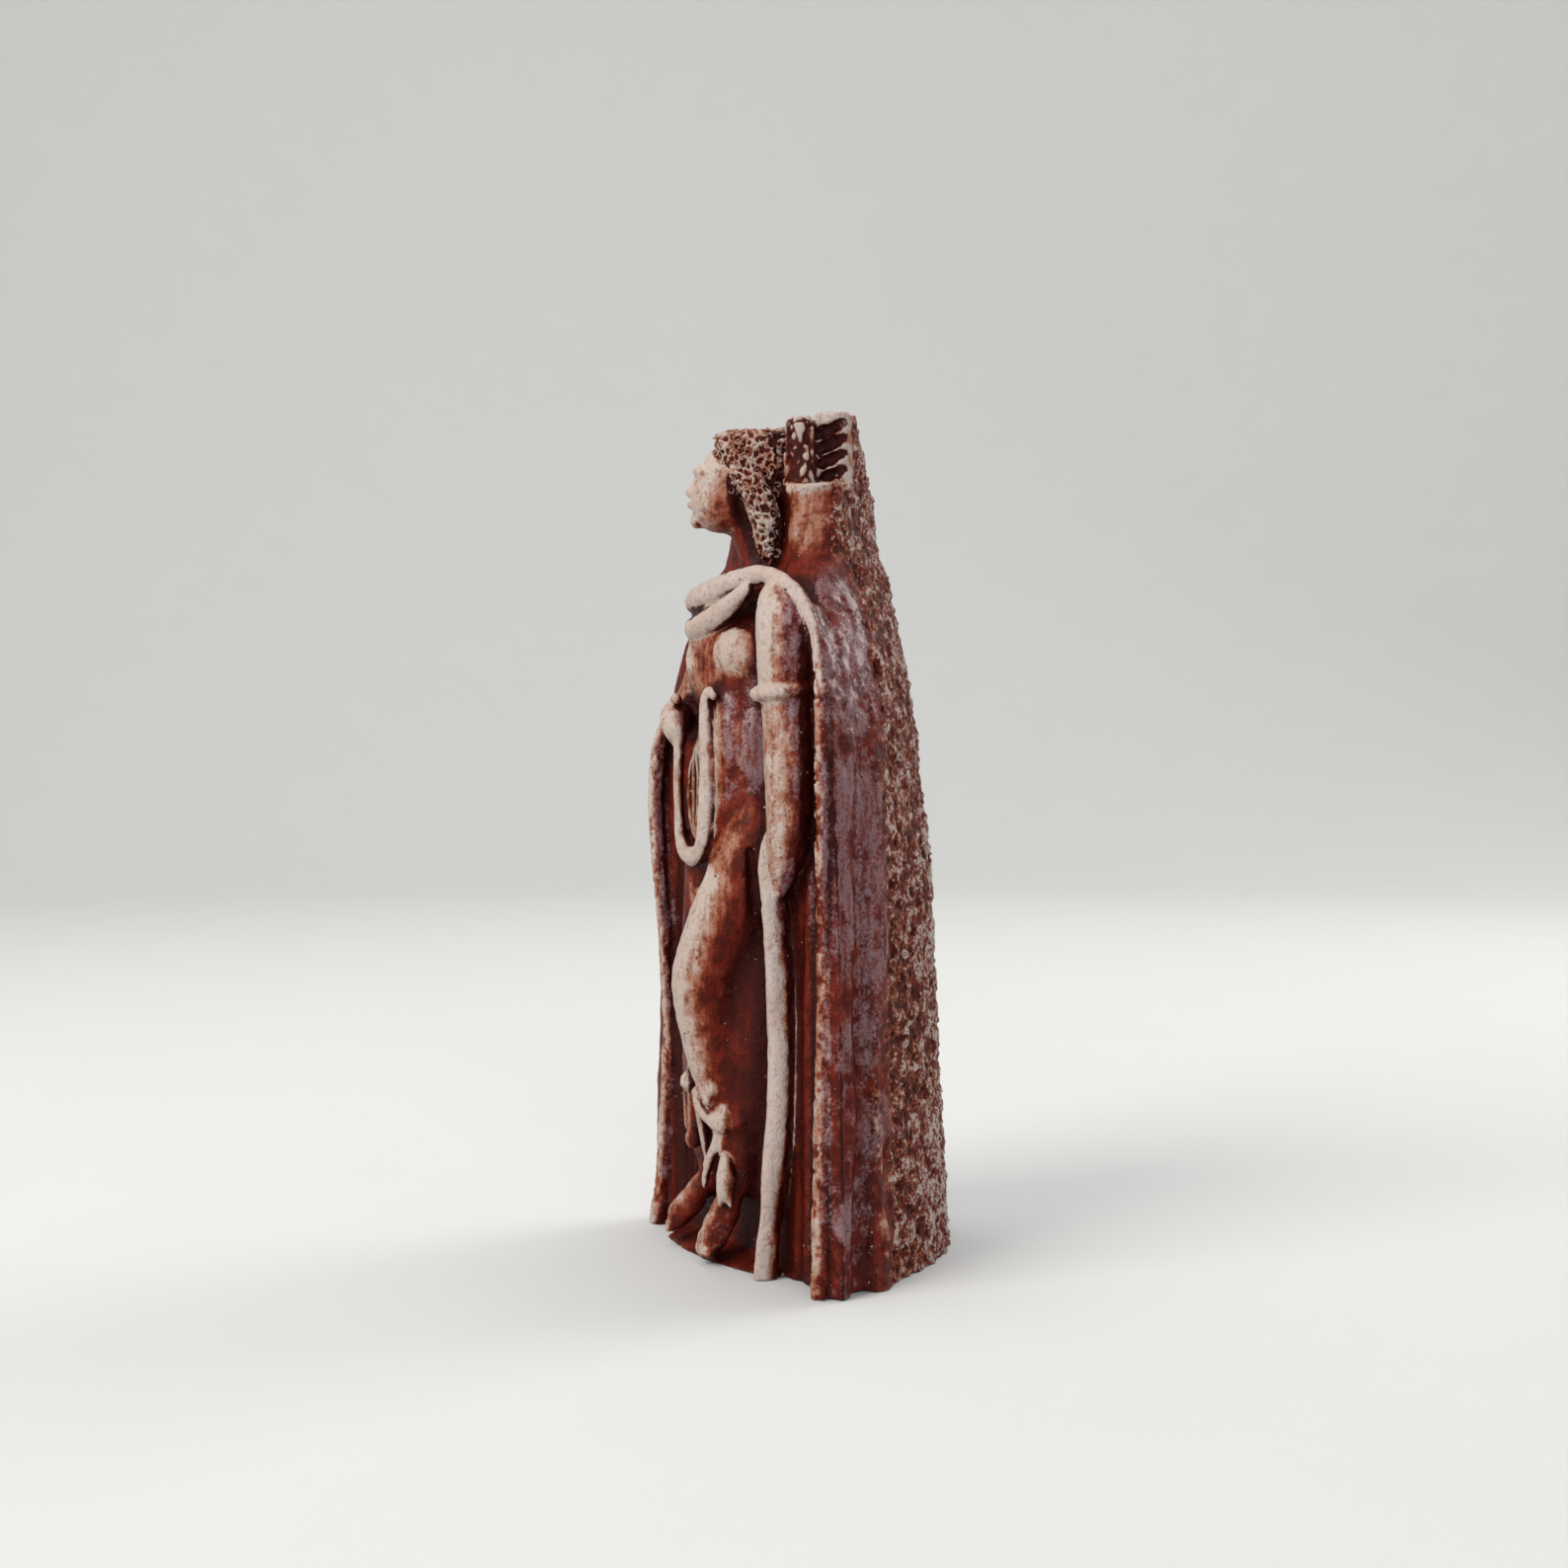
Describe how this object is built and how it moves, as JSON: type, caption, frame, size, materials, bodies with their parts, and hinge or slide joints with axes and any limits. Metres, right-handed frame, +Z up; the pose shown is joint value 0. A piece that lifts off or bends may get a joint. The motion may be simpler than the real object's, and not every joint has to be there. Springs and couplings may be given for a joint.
{
  "type": "apollo figurine",
  "caption": "Small cast figurine of a standing god in a long cloak, with a lyre, a quiver of arrows and curly hair, on a flat underside.",
  "frame": {"origin": "middle of the figurine's outline, on the surface that it stands on", "axes": "+Z up, -Y the way the chest faces, +X the figure's own left"},
  "size_m": [0.0406, 0.0358, 0.0945],
  "materials": {
    "figurine": "unglazed red-brown with a dull sheen, pale where it is rubbed"
  },
  "bodies": {
    "root": {"figurine": "figurine"}
  },
  "joints": []
}
